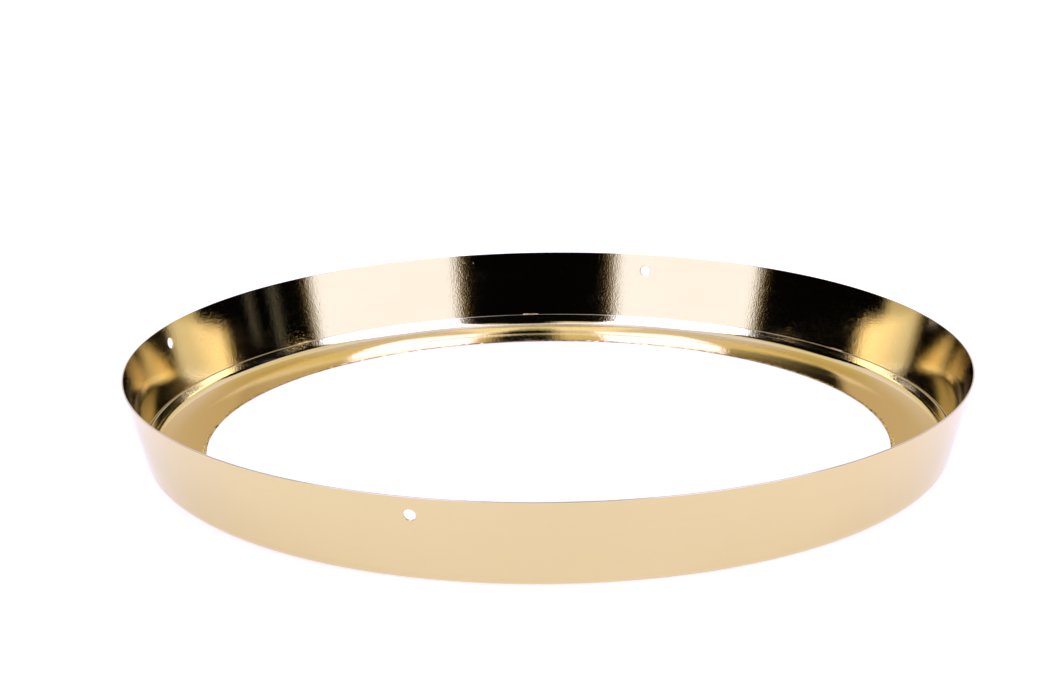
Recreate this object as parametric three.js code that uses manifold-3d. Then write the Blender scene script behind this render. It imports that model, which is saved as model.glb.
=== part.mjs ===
// Wreath frame: a flared sheet-metal band whose foot is rolled in round the bend of a flat ring.
// The ring's raised lip nests inside the band and is held there by short tacks of solder.
// Millimetres, +Z up. The origin is the middle of the round outline, on the surface it stands on.

import * as THREE from 'three';
import * as BufferGeometryUtils from 'three/addons/utils/BufferGeometryUtils.js';
import Module from 'manifold-3d';

const wasm = await Module();
wasm.setup();

// Overall sizes
const RIM_RADIUS = 200;         // outside of the band at its rim
const HEIGHT = 41;              // standing surface to the top of the rim
const FLARE = 14.5;             // lean of the band away from upright, in degrees
const OPENING_RADIUS = 162.5;   // round opening in the middle of the ring

// Sheet and bend
const BAND_SHEET = 0.8;         // thickness of the band
const RING_SHEET = 0.8;         // thickness of the ring
const RING_SWEEP = 28.5;        // radius of the ring's gentle sweep up from level, on its outside
const SWEEP_TURN = 20;          // how far the sweep turns before the tight bend, in degrees
const RING_BEND = 5;            // radius of the ring's tight bend, on its outside
const LIP_RISE = 3;             // straight stretch of the lip above the bend, along the band
const FOOT_WRAP = 66;           // how far below level the band's foot follows the bend, in degrees
const NEST_GAP = 0.3;           // clearance between the lip and the band

// Hanging holes through the band
const HOLE_RADIUS = 2.6;
const HOLE_DROP = 8.8;          // rim to the centre of a hole, along the band
const HOLE_AZIMUTHS = [74, 162.5, 253.5, 343.5];  // near the quarters, in degrees

// Solder tacks in the corner between the lip's top edge and the band
const TACK_LENGTH = 8.4;
const TACK_RISE = 1;            // how far a tack climbs the band
const TACK_GAP = 0.3;           // clearance to the lip and to the band
const TACK_AZIMUTHS = [37.5, 92.7, 132.8, 186, 229, 270, 311, 350];  // set by hand, in degrees

// Facets
const ROUND_SEGMENTS = 96;
const BEND_SEGMENTS = 5;
const HOLE_SEGMENTS = 24;

const level = Math.PI / 2;
const flare = THREE.MathUtils.degToRad(FLARE);
const sweepEnd = level - THREE.MathUtils.degToRad(SWEEP_TURN);
const upBand = new THREE.Vector2(Math.sin(flare), Math.cos(flare));
const outOfBand = new THREE.Vector2(Math.cos(flare), -Math.sin(flare));

// The bends of the band and the ring share one centre, in the plane of radius and height.
const bandBend = RING_BEND + NEST_GAP + BAND_SHEET;
const bendHeight = RING_SWEEP - (RING_SWEEP - RING_BEND) * Math.sin(sweepEnd);
const bandFoot = new THREE.Vector2(0, bendHeight).addScaledVector(outOfBand, bandBend);
const rimHeight = HEIGHT - BAND_SHEET * Math.sin(flare);
const bandRun = (rimHeight - bandFoot.y) / Math.cos(flare);
const bendRadius = RIM_RADIUS - bandRun * Math.sin(flare) - bandFoot.x;
const bendCentre = new THREE.Vector2(bendRadius, bendHeight);
const sweepRadius = bendRadius - (RING_SWEEP - RING_BEND) * Math.cos(sweepEnd);
const sweepCentre = new THREE.Vector2(sweepRadius, RING_SWEEP);

// A point beside the straight part of the section: out from the bend's centre, then up the band.
function alongBand(out, up) {
  return bendCentre.clone().addScaledVector(outOfBand, out).addScaledVector(upBand, up);
}

// Points of an arc, from one angle to the other, both measured below level.
function arc(centre, radius, from, to) {
  const points = [];
  for (let step = 0; step <= BEND_SEGMENTS; step += 1) {
    const angle = THREE.MathUtils.lerp(from, to, step / BEND_SEGMENTS);
    const offset = new THREE.Vector2(radius * Math.cos(angle), -radius * Math.sin(angle));
    points.push(centre.clone().add(offset));
  }
  return points;
}

// Turns a closed section, listed anticlockwise with radius across and height up, about +Z.
function revolve(section) {
  const geometry = new THREE.LatheGeometry([...section, section[0]], ROUND_SEGMENTS);
  geometry.rotateX(Math.PI / 2);
  return geometry;
}

function toSolid(geometry) {
  const bare = geometry.clone();
  bare.deleteAttribute('normal');
  bare.deleteAttribute('uv');
  const merged = BufferGeometryUtils.mergeVertices(bare, 1e-4);
  return new wasm.Manifold(new wasm.Mesh({
    numProp: 3,
    vertProperties: new Float32Array(merged.attributes.position.array),
    triVerts: new Uint32Array(merged.index.array),
  }));
}

function fromSolid(solid) {
  const mesh = solid.getMesh();
  const geometry = new THREE.BufferGeometry();
  geometry.setAttribute('position', new THREE.BufferAttribute(mesh.vertProperties, 3));
  geometry.setIndex(new THREE.BufferAttribute(mesh.triVerts, 1));
  geometry.computeVertexNormals();
  return geometry;
}

// A cutter through the band, square to its surface, at one azimuth.
function holeCutter(azimuth) {
  const reach = BAND_SHEET * 4;
  const centre = alongBand(bandBend - BAND_SHEET / 2, bandRun - HOLE_DROP);
  const geometry = new THREE.CylinderGeometry(HOLE_RADIUS, HOLE_RADIUS, reach, HOLE_SEGMENTS);
  geometry.rotateZ(-Math.PI / 2);
  geometry.rotateY(flare);
  geometry.translate(centre.x, 0, centre.y);
  geometry.rotateZ(THREE.MathUtils.degToRad(azimuth));
  return geometry;
}

function bandGeometry() {
  const wrap = THREE.MathUtils.degToRad(FOOT_WRAP);
  const inside = bandBend - BAND_SHEET;
  const section = [
    ...arc(bendCentre, bandBend, wrap, flare),
    alongBand(bandBend, bandRun),
    alongBand(inside, bandRun),
    ...arc(bendCentre, inside, flare, wrap),
  ];
  let band = toSolid(revolve(section));
  for (const azimuth of HOLE_AZIMUTHS) {
    band = band.subtract(toSolid(holeCutter(azimuth)));
  }
  return fromSolid(band);
}

function ringGeometry() {
  const inside = RING_BEND - RING_SHEET;
  return revolve([
    new THREE.Vector2(OPENING_RADIUS, 0),
    ...arc(sweepCentre, RING_SWEEP, level, sweepEnd),
    ...arc(bendCentre, RING_BEND, sweepEnd, flare).slice(1),
    alongBand(RING_BEND, LIP_RISE),
    alongBand(inside, LIP_RISE),
    ...arc(bendCentre, inside, flare, sweepEnd),
    ...arc(sweepCentre, RING_SWEEP - RING_SHEET, sweepEnd, level).slice(1),
    new THREE.Vector2(OPENING_RADIUS, RING_SHEET),
  ]);
}

function tackGeometry() {
  const back = RING_BEND + NEST_GAP - TACK_GAP;
  const front = RING_BEND - RING_SHEET;
  const floor = LIP_RISE + TACK_GAP;
  const crown = alongBand((back + front) / 2, floor + TACK_RISE * 0.6);
  const corners = [
    alongBand(front, floor),
    alongBand(back, floor),
    alongBand(back, floor + TACK_RISE),
    crown,
  ];
  const geometry = new THREE.ExtrudeGeometry(new THREE.Shape(corners), {
    depth: TACK_LENGTH,
    bevelEnabled: false,
  });
  geometry.translate(0, 0, -TACK_LENGTH / 2);
  geometry.rotateX(Math.PI / 2);
  return geometry;
}

const bandPlate = new THREE.MeshStandardMaterial({ color: 0xe6c98c, roughness: 0.12, metalness: 1 });
const ringPlate = new THREE.MeshStandardMaterial({ color: 0xd9b468, roughness: 0.22, metalness: 1 });
const solder = new THREE.MeshStandardMaterial({ color: 0xc9a866, roughness: 0.35, metalness: 1 });

const frame = new THREE.Group();

const band = new THREE.Mesh(bandGeometry(), bandPlate);
band.name = 'flared_band';
frame.add(band);

const ring = new THREE.Mesh(ringGeometry(), ringPlate);
ring.name = 'base_ring';
frame.add(ring);

TACK_AZIMUTHS.forEach((azimuth, index) => {
  const tack = new THREE.Mesh(tackGeometry(), solder);
  tack.name = `solder_tack_${index + 1}`;
  tack.rotation.z = THREE.MathUtils.degToRad(azimuth);
  frame.add(tack);
});

export default frame;
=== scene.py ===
"""Wreath frame: a flared, gold-plated sheet-metal band rolled round the bend of a flat ring.

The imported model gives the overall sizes. Each sheet is made here again as one smooth turned
surface with rounded raw edges, punched hanging holes and plated solder tacks.
All lengths are in metres, +Z is up and the origin is the middle of the standing surface.
"""

import logging
import math
from dataclasses import dataclass, field, replace
from enum import Enum
from typing import Any, Callable, Iterable, Mapping, Sequence, Union

import bmesh
import bpy
from mathutils import Matrix, Vector

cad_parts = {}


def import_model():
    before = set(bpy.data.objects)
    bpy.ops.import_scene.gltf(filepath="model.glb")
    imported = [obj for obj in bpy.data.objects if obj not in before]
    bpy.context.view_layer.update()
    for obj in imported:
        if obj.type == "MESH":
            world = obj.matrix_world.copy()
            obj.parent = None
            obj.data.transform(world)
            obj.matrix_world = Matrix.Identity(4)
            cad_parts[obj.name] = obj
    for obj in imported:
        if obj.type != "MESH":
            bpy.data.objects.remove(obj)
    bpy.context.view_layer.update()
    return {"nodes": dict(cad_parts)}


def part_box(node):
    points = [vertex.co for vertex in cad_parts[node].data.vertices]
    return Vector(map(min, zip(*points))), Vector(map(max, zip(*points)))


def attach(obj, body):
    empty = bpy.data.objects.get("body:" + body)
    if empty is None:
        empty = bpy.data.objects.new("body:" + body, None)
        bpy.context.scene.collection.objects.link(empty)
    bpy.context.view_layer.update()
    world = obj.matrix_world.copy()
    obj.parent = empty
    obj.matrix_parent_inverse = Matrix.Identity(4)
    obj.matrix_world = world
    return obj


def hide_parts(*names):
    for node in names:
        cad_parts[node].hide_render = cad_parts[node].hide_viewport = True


logging.basicConfig(level=logging.INFO, format="%(name)s: %(message)s")
LOG = logging.getLogger("wreath_frame")

MM = 0.001
BODY = "root"
TACKS = 8
Point2 = tuple[float, float]
Colour = tuple[float, float, float]
Socketish = Union[bpy.types.NodeSocket, "Signal", float, int, str, Sequence[float], None]


# ---------------------------------------------------------------------------------------------
# Node graphs
# ---------------------------------------------------------------------------------------------


class Signal:
    """A socket on which arithmetic adds Math nodes."""

    def __init__(self, graph: "NodeGraph", socket: bpy.types.NodeSocket) -> None:
        """Wraps an output socket of a graph."""
        self.graph = graph
        self.socket = socket

    def _math(self, operation: str, *values: Socketish, clamp: bool = False) -> "Signal":
        """Adds one Math node.

        Args:
            operation: The Math node's operation.
            values: Its inputs, in order.
            clamp: Whether the result is held between 0 and 1.

        Returns:
            The node's result.
        """
        settings = {"operation": operation, "use_clamp": clamp}
        node = self.graph.add("ShaderNodeMath", settings, dict(enumerate(values)))
        return Signal(self.graph, node.outputs[0])

    def __add__(self, other: Socketish) -> "Signal":
        """Returns self + other."""
        return self._math("ADD", self, other)

    __radd__ = __add__

    def __sub__(self, other: Socketish) -> "Signal":
        """Returns self - other."""
        return self._math("SUBTRACT", self, other)

    def __rsub__(self, other: Socketish) -> "Signal":
        """Returns other - self."""
        return self._math("SUBTRACT", other, self)

    def __mul__(self, other: Socketish) -> "Signal":
        """Returns self * other."""
        return self._math("MULTIPLY", self, other)

    __rmul__ = __mul__

    def __pow__(self, other: Socketish) -> "Signal":
        """Returns self ** other."""
        return self._math("POWER", self, other)

    def cos(self) -> "Signal":
        """Returns the cosine of self, in radians."""
        return self._math("COSINE", self)

    def sin(self) -> "Signal":
        """Returns the sine of self, in radians."""
        return self._math("SINE", self)

    def atan2(self, other: Socketish) -> "Signal":
        """Returns the angle of (other, self), in radians."""
        return self._math("ARCTAN2", self, other)

    def clamped(self) -> "Signal":
        """Returns self held between 0 and 1."""
        return self._math("ADD", self, 0.0, clamp=True)

    def fade(self, low: float, high: float) -> "Signal":
        """Returns a smooth step of self.

        Args:
            low: Where the step is 0.
            high: Where the step is 1; it may be below low.

        Returns:
            The step, from 0 to 1.
        """
        flip = high < low
        inputs = {"Value": self, "From Min": min(low, high), "From Max": max(low, high)}
        node = self.graph.add("ShaderNodeMapRange", {"interpolation_type": "SMOOTHSTEP"}, inputs)
        step = Signal(self.graph, node.outputs["Result"])
        return 1.0 - step if flip else step


class NodeGraph:
    """A node tree that is built one node at a time."""

    def __init__(self, tree: bpy.types.NodeTree) -> None:
        """Starts from an existing tree and empties it."""
        self.tree = tree
        tree.nodes.clear()

    def add(
        self,
        kind: str,
        settings: Mapping[str, Any] | None = None,
        inputs: Mapping[Union[str, int], Socketish] | None = None,
    ) -> bpy.types.Node:
        """Adds a node, sets it up and fills its sockets.

        Args:
            kind: The node's type.
            settings: Its properties, set before its sockets.
            inputs: Values or links for its inputs, by name or number.

        Returns:
            The new node.
        """
        node = self.tree.nodes.new(kind)
        for name, value in (settings or {}).items():
            setattr(node, name, value)
        for name, value in (inputs or {}).items():
            self.feed(node.inputs[name], value)
        return node

    def feed(self, socket: bpy.types.NodeSocket, value: Socketish) -> None:
        """Links or sets one input socket.

        Args:
            socket: The input.
            value: A signal or output socket to link, or a plain value.
        """
        if isinstance(value, Signal):
            value = value.socket
        if isinstance(value, bpy.types.NodeSocket):
            self.tree.links.new(value, socket)
        elif value is not None:
            socket.default_value = value

    def signal(self, socket: bpy.types.NodeSocket) -> Signal:
        """Returns a socket as a signal."""
        return Signal(self, socket)


class GeometryGraph(NodeGraph):
    """A Geometry Nodes tree with named inputs that is run once on a mesh."""

    def __init__(self, name: str, inputs: Mapping[str, tuple[str, Any]]) -> None:
        """Makes the tree and its interface.

        Args:
            name: The tree's name.
            inputs: For each named input, its socket type and its value.
        """
        super().__init__(bpy.data.node_groups.new(name, "GeometryNodeTree"))
        face = self.tree.interface
        face.new_socket("Geometry", in_out="INPUT", socket_type="NodeSocketGeometry")
        self.values = {}
        for label, (socket_type, value) in inputs.items():
            socket = face.new_socket(label, in_out="INPUT", socket_type=socket_type)
            self.values[socket.identifier] = value
        face.new_socket("Geometry", in_out="OUTPUT", socket_type="NodeSocketGeometry")
        self.entry = self.add("NodeGroupInput")

    def given(self, label: str) -> Signal:
        """Returns one of the tree's own inputs."""
        return self.signal(self.entry.outputs[label])

    def finish(self, geometry: bpy.types.NodeSocket) -> None:
        """Ends the tree with real instances and the Material input.

        Args:
            geometry: The finished shape.
        """
        real = self.add("GeometryNodeRealizeInstances", inputs={"Geometry": geometry})
        dressed = self.add(
            "GeometryNodeSetMaterial",
            inputs={"Geometry": real.outputs[0], "Material": self.given("Material")},
        )
        self.add("NodeGroupOutput", inputs={"Geometry": dressed.outputs[0]})

    def position(self) -> bpy.types.NodeSocket:
        """Returns the vertices' positions."""
        return self.add("GeometryNodeInputPosition").outputs[0]

    def run(self, piece: bpy.types.Object) -> None:
        """Runs the tree on a piece and keeps the result as its plain mesh.

        Args:
            piece: The object whose mesh goes in, and is replaced.
        """
        modifier = piece.modifiers.new(self.tree.name, "NODES")
        modifier.node_group = self.tree
        for identifier, value in self.values.items():
            modifier[identifier] = value
        shaped = piece.evaluated_get(bpy.context.evaluated_depsgraph_get())
        mesh = bpy.data.meshes.new_from_object(shaped)
        piece.modifiers.remove(modifier)
        raw = piece.data
        piece.data = mesh
        bpy.data.meshes.remove(raw)


class ShaderGraph(NodeGraph):
    """A shader tree, with colours to blend."""

    def mix(self, factor: Socketish, first: Socketish, second: Socketish) -> bpy.types.NodeSocket:
        """Blends two colours.

        Args:
            factor: 0 for the first, 1 for the second.
            first: A colour or a link.
            second: A colour or a link.

        Returns:
            The blended colour.
        """
        node = self.add("ShaderNodeMix", {"data_type": "RGBA"}, {"Factor": factor})
        colours = [socket for socket in node.inputs if socket.type == "RGBA"]
        for socket, value in zip(colours, (first, second)):
            self.feed(socket, (*value, 1.0) if isinstance(value, tuple) else value)
        return next(socket for socket in node.outputs if socket.type == "RGBA")


class MaterialGraph(ShaderGraph):
    """A material's node tree with one Principled shader."""

    def __init__(self, name: str) -> None:
        """Makes the material."""
        self.material = bpy.data.materials.new(name)
        self.material.use_nodes = True
        super().__init__(self.material.node_tree)
        self.place = self.add("ShaderNodeTexCoord").outputs["Object"]

    def principled(self, inputs: Mapping[Union[str, int], Socketish]) -> bpy.types.Material:
        """Adds the shader and the output.

        Args:
            inputs: The shader's sockets.

        Returns:
            The finished material.
        """
        shader = self.add("ShaderNodeBsdfPrincipled", inputs=inputs)
        self.add("ShaderNodeOutputMaterial", inputs={"Surface": shader.outputs[0]})
        return self.material

    def noise(self, scale: float, detail: float = 2.0, at: Socketish = None) -> Signal:
        """Adds a noise texture.

        Args:
            scale: Its frequency, in waves per metre.
            detail: How many finer octaves it has.
            at: Where it is read; object coordinates if nothing is given.

        Returns:
            The noise, from 0 to 1.
        """
        inputs = {"Vector": at or self.place, "Scale": scale, "Detail": detail}
        return self.signal(self.add("ShaderNodeTexNoise", inputs=inputs).outputs["Fac"])

    def axes(self) -> tuple[Signal, Signal, Signal]:
        """Returns object X, Y and Z."""
        split = self.add("ShaderNodeSeparateXYZ", inputs={"Vector": self.place})
        return tuple(self.signal(socket) for socket in split.outputs)

    def vector(self, x: Socketish, y: Socketish, z: Socketish) -> bpy.types.NodeSocket:
        """Returns a vector made of three values."""
        node = self.add("ShaderNodeCombineXYZ", inputs={"X": x, "Y": y, "Z": z})
        return node.outputs["Vector"]

    def bump(self, height: Socketish, distance: float, base: Socketish = None) -> Any:
        """Adds a bump.

        Args:
            height: The relief, from 0 to 1.
            distance: How deep a step of 1 is, in metres.
            base: A bump underneath it.

        Returns:
            The bumped normal.
        """
        inputs = {"Height": height, "Distance": distance, "Strength": 1.0, "Normal": base}
        return self.add("ShaderNodeBump", inputs=inputs).outputs["Normal"]


# ---------------------------------------------------------------------------------------------
# Sections
# ---------------------------------------------------------------------------------------------

CUT_EDGE = "cut_edge"


@dataclass(frozen=True)
class Mark:
    """One point of a section: where it is, and how far it lies on a raw cut edge."""

    radius: float
    height: float
    cut: float = 0.0


@dataclass(frozen=True)
class Arc:
    """An arc of the section; its angles are below level, as seen from its centre."""

    centre: Point2
    radius: float
    start: float
    stop: float

    def marks(self, steps: int) -> list[Mark]:
        """Returns the arc's points, with both ends.

        Args:
            steps: How many steps it has.

        Returns:
            The points.
        """
        points = []
        for step in range(steps + 1):
            angle = self.start + (self.stop - self.start) * step / steps
            across, down = self.radius * math.cos(angle), self.radius * math.sin(angle)
            points.append(Mark(self.centre[0] + across, self.centre[1] - down))
        return points


@dataclass(frozen=True)
class Nest:
    """The section that the band and the ring share: one bend centre and one lean."""

    rim_radius: float
    top: float
    flare: float = math.radians(14.5)
    sheet: float = 0.8 * MM
    sweep: float = 28.5 * MM
    sweep_end: float = math.radians(70)
    ring_bend: float = 5.0 * MM
    nest_gap: float = 0.3 * MM

    @property
    def band_bend(self) -> float:
        """Radius of the band's bend on its outside."""
        return self.ring_bend + self.nest_gap + self.sheet

    @property
    def bend_height(self) -> float:
        """Height of the bends' centre."""
        return self.sweep - (self.sweep - self.ring_bend) * math.sin(self.sweep_end)

    @property
    def run(self) -> float:
        """Length of the straight band, from its bend to the rim."""
        rim = self.top - self.sheet * math.sin(self.flare)
        foot = self.bend_height - self.band_bend * math.sin(self.flare)
        return (rim - foot) / math.cos(self.flare)

    @property
    def centre(self) -> Point2:
        """Radius and height of the bends' centre."""
        across = self.run * math.sin(self.flare) + self.band_bend * math.cos(self.flare)
        return self.rim_radius - across, self.bend_height

    @property
    def sweep_centre(self) -> Point2:
        """Radius and height of the centre of the ring's gentle sweep."""
        shift = (self.sweep - self.ring_bend) * math.cos(self.sweep_end)
        return self.centre[0] - shift, self.sweep

    def along(self, out: float, up: float, cut: float = 0.0) -> Mark:
        """Places a point beside the straight part of the section.

        Args:
            out: How far out it is from the bend's centre, square to the band.
            up: How far up the band it is.
            cut: How far it lies on a cut edge.

        Returns:
            The point.
        """
        level, lean = math.cos(self.flare), math.sin(self.flare)
        radius = self.centre[0] + out * level + up * lean
        return Mark(radius, self.centre[1] - out * lean + up * level, cut)

    def bend(self, radius: float, start: float, stop: float) -> Arc:
        """Returns an arc about the bends' centre."""
        return Arc(self.centre, radius, start, stop)

    def rise(self, radius: float, start: float, stop: float) -> Arc:
        """Returns an arc about the sweep's centre."""
        return Arc(self.sweep_centre, radius, start, stop)


def straight(first: Mark, last: Mark, parts: Iterable[float]) -> list[Mark]:
    """Places points on a straight stretch.

    Args:
        first: Where it starts.
        last: Where it ends.
        parts: How far along each point is, from 0 to 1.

    Returns:
        The points.
    """
    across, rise = last.radius - first.radius, last.height - first.height
    return [Mark(first.radius + across * part, first.height + rise * part) for part in parts]


def raw_edge(before: Mark, corners: tuple[Mark, Mark], after: Mark, rounding: float) -> list[Mark]:
    """Rounds the two corners of a sheet's cut edge.

    Args:
        before: The last point before the edge.
        corners: The two sharp corners.
        after: The first point after the edge.
        rounding: The corners' radius.

    Returns:
        The points from just before the first corner to just after the second.
    """
    steps = 4
    guard = 0.4 * rounding
    stations = [Vector((mark.radius, mark.height)) for mark in (before, *corners, after)]
    marks: list[Mark] = []
    for index in (1, 2):
        corner = stations[index]
        back = (stations[index - 1] - corner).normalized()
        ahead = (stations[index + 1] - corner).normalized()
        half = back.angle(ahead) / 2
        reach = rounding / math.tan(half)
        middle = corner + (back + ahead).normalized() * (rounding / math.sin(half))
        start, stop = corner + back * reach, corner + ahead * reach
        chord = [start.lerp(stop, step / steps) for step in range(steps + 1)]
        arc = [middle + (point - middle).normalized() * rounding for point in chord]
        cuts = [step / steps for step in range(steps + 1)]
        if index == 1:
            marks.append(Mark(*(start + back * guard)))
            marks += [Mark(*point, cut) for point, cut in zip(arc, cuts)]
        else:
            marks += [Mark(*point, cut) for point, cut in zip(arc, reversed(cuts))]
            marks.append(Mark(*(stop + ahead * guard)))
    return marks


# ---------------------------------------------------------------------------------------------
# Sheets: a flat blank in mesh code, rolled round by a node tree
# ---------------------------------------------------------------------------------------------


@dataclass(frozen=True)
class Punch:
    """The round hanging holes through the band."""

    radius: float = 2.6 * MM
    drop: float = 8.8 * MM
    azimuths: tuple[float, ...] = (74.0, 162.5, 253.5, 343.5)
    rounding: float = 0.34 * MM
    block: float = 6.0 * MM
    cells: int = 10


class Blank:
    """A sheet's closed section run along a straight line, before it is rolled round.

    A vertex is (turn in radians, radius, height). The first and last columns meet when rolled.
    """

    def __init__(self, marks: Sequence[Mark], segments: int) -> None:
        """Places the vertices.

        Args:
            marks: The closed section, anticlockwise with radius across and height up.
            segments: How many columns of faces the full turn has.
        """
        self.marks = list(marks)
        self.segments = segments
        self.mesh = bmesh.new()
        self.cut = self.mesh.verts.layers.float.new(CUT_EDGE)
        self.step = math.tau / segments
        self.columns = [
            [self.vertex(column * self.step, mark) for mark in marks]
            for column in range(segments + 1)
        ]
        self.skipped: set[tuple[int, int]] = set()
        self.dropped: list[bmesh.types.BMVert] = []

    def vertex(self, turn: float, mark: Mark) -> bmesh.types.BMVert:
        """Adds one vertex.

        Args:
            turn: Where it is round the sheet, in radians.
            mark: Where it is in the section.

        Returns:
            The vertex.
        """
        point = self.mesh.verts.new((turn, mark.radius, mark.height))
        point[self.cut] = mark.cut
        return point

    def punch(self, column: int, rows: tuple[Sequence[int], Sequence[int]],
              sleeve: Sequence[Callable[[float, Point2], tuple[float, Mark]]]) -> None:
        """Cuts one hole, with a sleeve of rings from the outer face to the inner face.

        Args:
            column: The column at the hole's middle.
            rows: The section rows of the hole's block, upward, on the outer and inner faces.
            sleeve: For each ring, a rule from a ring angle and its place on the block's edge,
                as (turn, row fraction), to a turn and a mark.
        """
        cells = len(rows[0]) - 1
        half = cells // 2
        path = [(k - half, 0) for k in range(cells)]
        path += [(half, k) for k in range(cells)]
        path += [(half - k, cells) for k in range(cells)]
        path += [(-half, cells - k) for k in range(cells)]
        edges = [[self.columns[column + across][side[up]] for across, up in path] for side in rows]
        turn = column * self.step
        rings = [edges[0]]
        for rule in sleeve:
            ring = []
            for index, (across, up) in enumerate(path):
                angle = math.tau * (index / len(path) - 0.375)
                offset, mark = rule(angle, (across * self.step, up / cells))
                ring.append(self.vertex(turn + offset, mark))
            rings.append(ring)
        rings.append(edges[1])
        for outer, inner in zip(rings, rings[1:]):
            for index in range(len(path)):
                ahead = (index + 1) % len(path)
                self.mesh.faces.new((outer[index], outer[ahead], inner[ahead], inner[index]))
        for across in range(-half, half):
            for side in rows:
                for row in range(min(side), max(side)):
                    self.skipped.add((column + across, row))
        self.dropped += [
            self.columns[column + across][row]
            for across in range(1 - half, half)
            for side in rows
            for row in range(min(side) + 1, max(side))
        ]

    def piece(self, name: str) -> bpy.types.Object:
        """Adds the plain faces and makes the object.

        Args:
            name: The object's name.

        Returns:
            The object.
        """
        count = len(self.marks)
        for column in range(self.segments):
            here, there = self.columns[column], self.columns[column + 1]
            for row in range(count):
                if (column, row) not in self.skipped:
                    up = (row + 1) % count
                    self.mesh.faces.new((here[row], there[row], there[up], here[up]))
        bmesh.ops.delete(self.mesh, geom=self.dropped, context="VERTS")
        data = bpy.data.meshes.new(name)
        self.mesh.to_mesh(data)
        self.mesh.free()
        piece = bpy.data.objects.new(name, data)
        bpy.context.scene.collection.objects.link(piece)
        return piece


class RollGraph(GeometryGraph):
    """Rolls a blank round +Z and gives it the faint wave of a sheet bent by hand."""

    def __init__(self, wave: float, seed: float, finish: bpy.types.Material) -> None:
        """Builds the tree.

        Args:
            wave: How far the sheet may sink inward, in metres.
            seed: Picks the wave.
            finish: The sheet's material.
        """
        super().__init__(
            "Roll",
            {
                "Wave": ("NodeSocketFloat", wave),
                "Seed": ("NodeSocketFloat", seed),
                "Material": ("NodeSocketMaterial", finish),
            },
        )
        split = self.add("ShaderNodeSeparateXYZ", inputs={"Vector": self.position()})
        turn, radius, height = (self.signal(socket) for socket in split.outputs)
        around = self.add("ShaderNodeCombineXYZ", inputs={"X": turn.cos(), "Y": turn.sin()})
        noise = self.add(
            "ShaderNodeTexNoise",
            {"noise_dimensions": "4D"},
            {"Vector": around.outputs[0], "W": self.given("Seed"), "Scale": 1.7, "Detail": 2.0},
        )
        sink = self.signal(noise.outputs["Fac"]) * self.given("Wave")
        reach = radius - sink
        place = self.add(
            "ShaderNodeCombineXYZ", inputs={"X": reach * turn.cos(), "Y": reach * turn.sin(),
                                            "Z": height}
        )
        rolled = self.add(
            "GeometryNodeSetPosition",
            inputs={"Geometry": self.entry.outputs["Geometry"], "Position": place.outputs[0]},
        )
        joined = self.add(
            "GeometryNodeMergeByDistance",
            inputs={"Geometry": rolled.outputs[0], "Distance": 0.001 * MM},
        )
        smooth = self.add(
            "GeometryNodeSetShadeSmooth",
            inputs={"Geometry": joined.outputs[0], "Shade Smooth": True},
        )
        self.finish(smooth.outputs[0])


class BeadGraph(GeometryGraph):
    """Runs a lumpy bead along each incoming line of (turn, radius, height) points."""

    def __init__(self, thickness: float, lumps: float, finish: bpy.types.Material) -> None:
        """Builds the tree.

        Args:
            thickness: The bead's radius at its middle.
            lumps: How much thicker it is near its ends.
            finish: The bead's material.
        """
        super().__init__(
            "Bead",
            {
                "Thickness": ("NodeSocketFloat", thickness),
                "Lumps": ("NodeSocketFloat", lumps),
                "Seed": ("NodeSocketFloat", 4.0),
                "Material": ("NodeSocketMaterial", finish),
            },
        )
        split = self.add("ShaderNodeSeparateXYZ", inputs={"Vector": self.position()})
        turn, radius, height = (self.signal(socket) for socket in split.outputs)
        place = self.add(
            "ShaderNodeCombineXYZ",
            inputs={"X": radius * turn.cos(), "Y": radius * turn.sin(), "Z": height},
        )
        rolled = self.add(
            "GeometryNodeSetPosition",
            inputs={"Geometry": self.entry.outputs["Geometry"], "Position": place.outputs[0]},
        )
        line = self.add("GeometryNodeMeshToCurve", inputs={"Mesh": rolled.outputs[0]})
        along = self.signal(self.add("GeometryNodeSplineParameter").outputs["Factor"])
        off = along * 2.0 - 1.0
        end = 1.0 - off ** 2.0
        lump = off ** 2.0 * end * 4.0 * self.given("Lumps")
        ripple = self.add(
            "ShaderNodeTexNoise",
            {"noise_dimensions": "4D"},
            {"Vector": self.position(), "W": self.given("Seed"), "Scale": 420.0, "Detail": 1.0},
        )
        uneven = self.signal(ripple.outputs["Fac"]) * 0.9 + 0.55
        scale = (end.clamped() ** 0.35) * (lump + 1.0) * uneven * self.given("Thickness")
        profile = self.add(
            "GeometryNodeCurvePrimitiveCircle", inputs={"Resolution": 14, "Radius": 1.0}
        )
        swept = self.add(
            "GeometryNodeCurveToMesh",
            inputs={
                "Curve": line.outputs[0],
                "Profile Curve": profile.outputs["Curve"],
                "Scale": scale,
                "Fill Caps": True,
            },
        )
        smooth = self.add(
            "GeometryNodeSetShadeSmooth",
            inputs={"Geometry": swept.outputs[0], "Shade Smooth": True},
        )
        self.finish(smooth.outputs[0])


# ---------------------------------------------------------------------------------------------
# Finishes
# ---------------------------------------------------------------------------------------------


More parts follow.
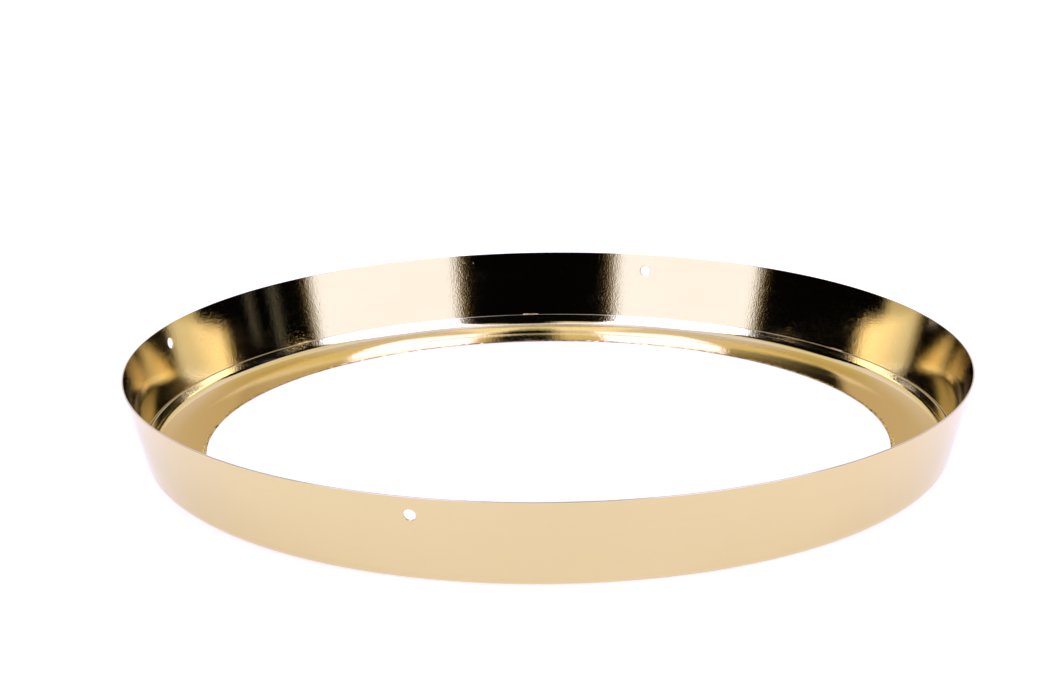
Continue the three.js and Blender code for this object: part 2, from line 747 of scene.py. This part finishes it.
@dataclass(frozen=True)
class PlatedFinish:
    """Gold plating over sheet metal: a bright mirror with orange peel and drag lines."""

    name: str
    gold: Colour = (0.67, 0.54, 0.25)
    deep: Colour = (0.66, 0.525, 0.235)
    bare: Colour = (0.82, 0.82, 0.83)
    polish: float = 0.04
    drag: float = 0.02
    peel: float = 0.024 * MM
    lines: float = 0.0004 * MM
    pits: float = 0.05 * MM

    def build(self) -> bpy.types.Material:
        """Returns the material."""
        graph = MaterialGraph(self.name)
        x, y, z = graph.axes()
        radius = (x * x + y * y) ** 0.5
        around = graph.vector(radius * 1500.0 + x * 9.0, z * 1500.0 + y * 9.0, x * 5.0 - y * 7.0)
        fine = graph.noise(1.0, 3.0, around)
        wide = graph.vector(radius * 260.0 + x * 5.0, z * 260.0 + y * 5.0, x * 3.0 + y * 4.0)
        drawn = graph.noise(1.0, 2.0, wide)
        cloud = graph.noise(16.0, 3.0)
        rubbed = graph.noise(55.0, 4.0)
        specks = graph.add(
            "ShaderNodeTexVoronoi", {"feature": "F1"}, {"Vector": graph.place, "Scale": 190.0}
        )
        speck = graph.signal(specks.outputs["Distance"]).fade(0.07, 0.03)
        keep = graph.noise(40.0, 1.0).fade(0.62, 0.70)
        nodule = speck * keep
        cut = graph.signal(
            graph.add("ShaderNodeAttribute", {"attribute_name": CUT_EDGE}).outputs["Fac"]
        ).clamped()
        worn = cut * (rubbed.fade(0.35, 0.65) * 0.25 + 0.75)

        plate = graph.mix(cloud.fade(0.35, 0.7) * 0.55 + drawn.fade(0.4, 0.7) * 0.2,
                          self.gold, self.deep)
        colour = graph.mix(worn, plate, self.bare)
        roughness = (
            fine.fade(0.42, 0.72) * self.drag
            + drawn.fade(0.45, 0.7) * (self.drag * 0.5)
            + rubbed.fade(0.5, 0.75) * 0.02
            + worn * 0.32
            + nodule * 0.12
            + self.polish
        )
        grain = graph.noise(1400.0, 1.0)
        swell = graph.noise(420.0, 1.0)
        normal = graph.bump(swell, self.peel * 0.5)
        normal = graph.bump(grain, self.peel, normal)
        normal = graph.bump(fine, self.lines, normal)
        normal = graph.bump(nodule, self.pits, normal)
        return graph.principled(
            {"Base Color": colour, "Metallic": 1.0, "Roughness": roughness, "Normal": normal}
        )


@dataclass(frozen=True)
class FloorFinish:
    """A pale matt table that also glows a little, as paper lit from below."""

    paper: Colour = (0.86, 0.86, 0.86)
    glow: float = 0.49

    def build(self) -> bpy.types.Material:
        """Returns the material."""
        graph = MaterialGraph("studio_paper")
        tooth = graph.noise(900.0, 2.0)
        tone = graph.noise(2.0, 2.0)
        shade = tuple(channel * 0.985 for channel in self.paper)
        return graph.principled(
            {
                "Base Color": graph.mix(tone, self.paper, shade),
                "Roughness": 0.85,
                "Emission Color": (0.98, 0.99, 1.16, 1.0),
                "Emission Strength": self.glow,
                "Normal": graph.bump(tooth, 0.05 * MM),
            }
        )


# ---------------------------------------------------------------------------------------------
# Sub-assemblies
# ---------------------------------------------------------------------------------------------


class Slot(Enum):
    """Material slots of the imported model."""

    BAND = "gold_plated_band"
    RING = "gold_plated_ring"
    SOLDER = "plated_solder"


class SubAssembly:
    """A named piece that stands for one or more CAD nodes."""

    def mount(self, piece: bpy.types.Object, slot: Slot, nodes: Sequence[str]) -> None:
        """Ties a finished piece to the frame.

        Args:
            piece: The piece, in place.
            slot: Not used.
            nodes: The CAD nodes it stands for.
        """
        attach(piece, BODY)
        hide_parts(*nodes)
        LOG.info("%s: %d vertices, stands for %d nodes", piece.name, len(piece.data.vertices),
                 len(nodes))


@dataclass
class FlaredBand(SubAssembly):
    """The outer band: a leaning wall whose foot wraps round the ring's bend."""

    nest: Nest
    punch: Punch = field(default_factory=Punch)
    finish: PlatedFinish = PlatedFinish("gold_plated_band")
    segments: int = 720
    foot_wrap: float = math.radians(66)
    rounding: float = 0.16 * MM
    wave: float = 0.10 * MM
    lower_rows: int = 14

    def stations(self) -> list[float]:
        """Returns how far up the band its rows are, with the holes' block evenly divided."""
        middle = self.nest.run - self.punch.drop
        low, high = middle - self.punch.block, middle + self.punch.block
        cells = self.punch.cells
        rows = [low * step / self.lower_rows for step in range(self.lower_rows)]
        rows += [low + (high - low) * step / cells for step in range(cells + 1)]
        return rows + [high + 1.1 * MM, high + 2.2 * MM]

    def section(self) -> tuple[list[Mark], int, int]:
        """Lays out the closed section.

        Returns:
            Its marks, the outer face's first straight row and the inner face's last.
        """
        nest = self.nest
        outer, inner = nest.band_bend, nest.band_bend - nest.sheet
        stations = self.stations()
        below = nest.bend(outer, self.foot_wrap, nest.flare).marks(14)
        above = nest.bend(inner, nest.flare, self.foot_wrap).marks(14)
        climb = [nest.along(outer, up) for up in stations[1:]]
        descent = [nest.along(inner, up) for up in reversed(stations[1:])]
        rim = (nest.along(outer, nest.run), nest.along(inner, nest.run))
        marks = below[1:] + climb
        marks += raw_edge(climb[-1], rim, descent[0], self.rounding)
        marks += descent + above[:-1]
        marks += raw_edge(above[-2], (above[-1], below[0]), below[1], self.rounding)
        first = len(below) - 2
        last = marks.index(above[0])
        return marks, first, last

    def sleeve(self) -> list[Callable[[float, Point2], tuple[float, Mark]]]:
        """Lays out a hole's rings, from the outer face through to the inner face."""
        nest, punch = self.nest, self.punch
        middle = nest.run - punch.drop
        outer, inner = nest.band_bend, nest.band_bend - nest.sheet
        reach = nest.along((outer + inner) / 2, middle).radius

        def ring(out: float, radius: float, spread: float) -> Callable:
            """Returns one ring's rule; spread leads from the hole to the block's edge."""

            def rule(angle: float, edge: Point2) -> tuple[float, Mark]:
                """Returns the turn from the hole's middle and the mark at an angle."""
                side = radius * math.cos(angle)
                up = radius * math.sin(angle)
                side += (edge[0] * reach - side) * spread
                up += ((edge[1] * 2 - 1) * punch.block - up) * spread
                return side / reach, nest.along(out, middle + up)

            return rule

        rings = []
        size = punch.radius
        guard = size + punch.rounding + 0.08 * MM
        for spread in (0.66, 0.38, 0.16, 0.0):
            rings.append((outer, guard, spread))
        for step in range(5):
            angle = math.pi / 2 * step / 4
            inset = punch.rounding * (1 - math.sin(angle))
            depth = punch.rounding * (1 - math.cos(angle))
            rings.append((outer - depth, size + inset, 0.0))
        mirrored = [(outer + inner - out, radius, spread) for out, radius, spread in rings]
        return [ring(*values) for values in rings + mirrored[::-1]]

    def build(self) -> bpy.types.Object:
        """Punches the blank and rolls it.

        Returns:
            The band.
        """
        marks, first, last = self.section()
        blank = Blank(marks, self.segments)
        steps = [self.lower_rows + k for k in range(self.punch.cells + 1)]
        outer = [first + step for step in steps]
        inner = [last - step for step in steps]
        for azimuth in self.punch.azimuths:
            blank.punch(round(azimuth * self.segments / 360), (outer, inner), self.sleeve())
        piece = blank.piece("band")
        RollGraph(self.wave, 1.3, self.finish.build()).run(piece)
        LOG.info("band: %d marks in its section, %d holes", len(marks), len(self.punch.azimuths))
        return piece

    def dress(self) -> None:
        """Builds the band and mounts it."""
        self.mount(self.build(), Slot.BAND, ["flared_band"])


@dataclass
class BaseRing(SubAssembly):
    """The flat ring with its bend and the short lip that nests inside the band."""

    nest: Nest
    opening: float
    finish: PlatedFinish = PlatedFinish(
        "gold_plated_ring", gold=(0.95, 0.83, 0.49), deep=(0.94, 0.81, 0.46), polish=0.05,
        drag=0.05
    )
    segments: int = 720
    lip_rise: float = 3.0 * MM
    rounding: float = 0.16 * MM
    wave: float = 0.02 * MM

    def section(self) -> list[Mark]:
        """Returns the closed section."""
        nest = self.nest
        level = math.pi / 2
        sheet, end = nest.sheet, nest.sweep_end
        outer, inner = nest.ring_bend, nest.ring_bend - sheet
        below = nest.rise(nest.sweep, level, end).marks(8)
        below += nest.bend(outer, end, nest.flare).marks(12)[1:]
        above = nest.bend(inner, nest.flare, end).marks(20)
        above += nest.rise(nest.sweep - sheet, end, level).marks(12)[1:]
        lip = (nest.along(outer, self.lip_rise), nest.along(inner, self.lip_rise))
        hole = (Mark(self.opening, sheet), Mark(self.opening, 0.0))
        parts = [0.03, 0.1, 0.25, 0.4, 0.55, 0.7, 0.85, 0.985]
        top = straight(above[-1], hole[0], parts)
        bottom = straight(below[0], hole[1], parts)[::-1]
        marks = bottom + below
        marks += raw_edge(below[-1], lip, above[0], self.rounding)
        marks += above + top
        marks += raw_edge(top[-1], hole, bottom[0], self.rounding)
        return marks

    def dress(self) -> None:
        """Builds the ring and mounts it."""
        piece = Blank(self.section(), self.segments).piece("ring")
        RollGraph(self.wave, 7.9, self.finish.build()).run(piece)
        self.mount(piece, Slot.RING, ["base_ring"])


@dataclass
class SolderTacks(SubAssembly):
    """Short plated beads of solder in the corner over the ring's lip."""

    nest: Nest
    azimuths: Sequence[float]
    finish: PlatedFinish = PlatedFinish(
        "plated_solder", polish=0.16, drag=0.04, peel=0.06 * MM, gold=(0.84, 0.66, 0.38)
    )
    length: float = 8.4 * MM
    thickness: float = 0.34 * MM
    lumps: float = 0.55
    lip_rise: float = 3.0 * MM
    steps: int = 36

    def dress(self) -> None:
        """Builds the beads and mounts them."""
        nest = self.nest
        out = nest.ring_bend + nest.nest_gap / 2
        seat = nest.along(out - 0.35 * MM, self.lip_rise + 0.2 * MM)
        data = bpy.data.meshes.new("tacks")
        points: list[tuple[float, float, float]] = []
        edges: list[tuple[int, int]] = []
        for azimuth in self.azimuths:
            first = len(points)
            for step in range(self.steps + 1):
                offset = self.length * (step / self.steps - 0.5)
                points.append((math.radians(azimuth) + offset / seat.radius, seat.radius,
                               seat.height))
            edges += [(k, k + 1) for k in range(first, first + self.steps)]
        data.from_pydata(points, edges, [])
        piece = bpy.data.objects.new("solder_tacks", data)
        bpy.context.scene.collection.objects.link(piece)
        BeadGraph(self.thickness, self.lumps, self.finish.build()).run(piece)
        nodes = [f"solder_tack_{number + 1}" for number in range(len(self.azimuths))]
        self.mount(piece, Slot.SOLDER, nodes)


# ---------------------------------------------------------------------------------------------
# Studio
# ---------------------------------------------------------------------------------------------


@dataclass(frozen=True)
class Span:
    """A soft-edged window in azimuth and elevation, all in degrees.

    Azimuth runs from -Y towards +X.
    """

    left: float
    right: float
    low: float
    high: float
    soft: float = 2.0
    fade: float = 5.0


@dataclass(frozen=True)
class Layer:
    """A colour that takes over as the elevation rises from low to high, in degrees."""

    low: float
    high: float
    colour: Colour


@dataclass
class Studio:
    """A pale table in a studio with two tall soft panels and dark gaps between them."""

    floor_size: float = 14.0
    wall: Colour = (0.76, 0.66, 0.50)
    wall_layers: tuple[Layer, ...] = (
        Layer(22.0, 30.0, (0.83, 0.74, 0.84)),
        Layer(37.0, 43.0, (0.76, 0.66, 0.50)),
        Layer(52.0, 60.0, (0.77, 0.73, 1.02)),
    )
    panel: Colour = (1.53, 1.69, 3.10)
    panel_layers: tuple[Layer, ...] = (
        Layer(15.5, 21.0, (2.90, 2.95, 4.90)),
        Layer(34.0, 42.0, (2.05, 1.96, 4.30)),
    )
    zenith: Layer = Layer(78.0, 84.0, (0.20, 0.18, 0.15))
    gap: Colour = (0.0015, 0.0015, 0.0015)
    halo: Colour = (0.50, 0.38, 0.22)
    halo_width: float = 1.2
    halo_soft: float = 2.5
    slit: Colour = (0.30, 0.30, 0.36)
    gaps: tuple[Span, ...] = (
        Span(-112.0, -50.0, -30.0, 42.0),
        Span(60.0, 117.0, -30.0, 32.0),
        Span(-40.0, 50.0, -30.0, 41.0),
        Span(-4.0, 20.5, -30.0, 77.0, 4.0),
    )
    slits: tuple[Span, ...] = (
        Span(85.6, 86.4, -30.0, 24.0, 0.9),
        Span(94.6, 95.2, -30.0, 24.0, 0.8),
    )
    panels: tuple[Span, ...] = (
        Span(-64.5, -21.0, -30.0, 62.0, 1.3),
        Span(27.0, 72.5, -30.0, 62.0, 1.3),
    )

    def floor(self) -> None:
        """Adds the table top."""
        mesh = bpy.data.meshes.new("studio_floor")
        grid = bmesh.new()
        bmesh.ops.create_grid(grid, x_segments=8, y_segments=8, size=self.floor_size / 2)
        grid.to_mesh(mesh)
        grid.free()
        mesh.materials.append(FloorFinish().build())
        mesh.transform(Matrix.Translation((0.0, 0.0, -0.1 * MM)))
        table = bpy.data.objects.new("studio_floor", mesh)
        bpy.context.scene.collection.objects.link(table)

    def world(self) -> None:
        """Paints the soft studio round the table by direction."""
        world = bpy.data.worlds.new("studio")
        world.use_nodes = True
        graph = ShaderGraph(world.node_tree)
        ahead = graph.add("ShaderNodeTexCoord").outputs["Generated"]
        split = graph.add("ShaderNodeSeparateXYZ", inputs={"Vector": ahead})
        x, y, z = (graph.signal(socket) for socket in split.outputs)
        azimuth = x.atan2(y * -1.0) * math.degrees(1.0)
        level = (x * x + y * y) ** 0.5
        elevation = z.atan2(level) * math.degrees(1.0)

        def window(span: Span) -> Signal:
            """Returns how far a direction lies inside a span, from 0 to 1."""
            inside = azimuth.fade(span.left - span.soft, span.left + span.soft)
            inside = inside * azimuth.fade(span.right + span.soft, span.right - span.soft)
            inside = inside * elevation.fade(span.low - span.fade, span.low + span.fade)
            return inside * elevation.fade(span.high + span.fade, span.high - span.fade)

        def stack(first: Socketish, layers: Iterable[Layer]) -> Socketish:
            """Returns a colour with the layers laid over it as the elevation rises."""
            for layer in layers:
                first = graph.mix(elevation.fade(layer.low, layer.high), first, layer.colour)
            return first

        colour = stack(self.wall, self.wall_layers)
        for span in self.gaps:
            colour = graph.mix(window(span), colour, self.gap)
        for span in self.slits:
            colour = graph.mix(window(span), colour, self.slit)
        lit = stack(self.panel, self.panel_layers)
        for span in self.panels:
            left, right = span.left - self.halo_width, span.right + self.halo_width
            halo = replace(span, left=left, right=right, soft=self.halo_soft)
            colour = graph.mix(window(halo), colour, self.halo)
            colour = graph.mix(window(span), colour, lit)
        colour = stack(colour, (self.zenith,))
        shine = graph.add("ShaderNodeBackground", inputs={"Color": colour, "Strength": 1.0})
        graph.add("ShaderNodeOutputWorld", inputs={"Surface": shine.outputs[0]})
        bpy.context.scene.world = world

    def lights(self) -> None:
        """Adds a soft light over the table, too dim to see in the plating."""
        data = bpy.data.lights.new("overhead", "AREA")
        data.shape = "RECTANGLE"
        data.size = data.size_y = 1.2
        data.energy = 1.5
        lamp = bpy.data.objects.new("overhead", data)
        lamp.matrix_world = Matrix.Translation((0.0, -0.3, 2.6))
        bpy.context.scene.collection.objects.link(lamp)

    def camera(self) -> None:
        """Adds the camera: a long lens, a little above the table."""
        data = bpy.data.cameras.new("camera")
        data.lens = 85.0
        data.sensor_width = 36.0
        pitch, yaw, roll = (math.radians(angle) for angle in (16.638, -0.546, -0.786))
        ahead = Vector((math.sin(yaw) * math.cos(pitch), math.cos(yaw) * math.cos(pitch),
                        -math.sin(pitch)))
        level = Vector((math.cos(yaw), -math.sin(yaw), 0.0))
        over = level.cross(ahead)
        right = math.cos(roll) * level + math.sin(roll) * over
        up = math.cos(roll) * over - math.sin(roll) * level
        pose = Matrix((right, up, -ahead)).transposed().to_4x4()
        pose.translation = (0.0, -1.1254, 0.3808)
        camera = bpy.data.objects.new("camera", data)
        camera.matrix_world = pose
        bpy.context.scene.collection.objects.link(camera)
        bpy.context.scene.camera = camera

    def build(self) -> None:
        """Sets up the whole studio."""
        self.floor()
        self.world()
        self.lights()
        self.camera()
        bpy.context.scene.view_settings.view_transform = "Standard"


# ---------------------------------------------------------------------------------------------
# The whole object
# ---------------------------------------------------------------------------------------------


def tack_azimuths(count: int) -> list[float]:
    """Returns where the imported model's solder tacks are, in degrees from +X.

    Args:
        count: How many tacks there are.

    Returns:
        Their azimuths.
    """
    azimuths = []
    for number in range(1, count + 1):
        low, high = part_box(f"solder_tack_{number}")
        middle = (low + high) / 2
        azimuths.append(math.degrees(math.atan2(middle.y, middle.x)))
    return azimuths


def main() -> None:
    """Loads the frame, builds the pieces in order and sets up the studio."""
    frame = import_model()
    _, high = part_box("flared_band")
    LOG.info("frame: %d nodes", len(frame["nodes"]))
    nest = Nest(rim_radius=high.x, top=high.z)
    points = [vertex.co.xy for vertex in frame["nodes"]["base_ring"].data.vertices]
    FlaredBand(nest).dress()
    BaseRing(nest, opening=min(point.length for point in points)).dress()
    SolderTacks(nest, tack_azimuths(TACKS)).dress()
    Studio().build()


if __name__ == "__main__":
    main()
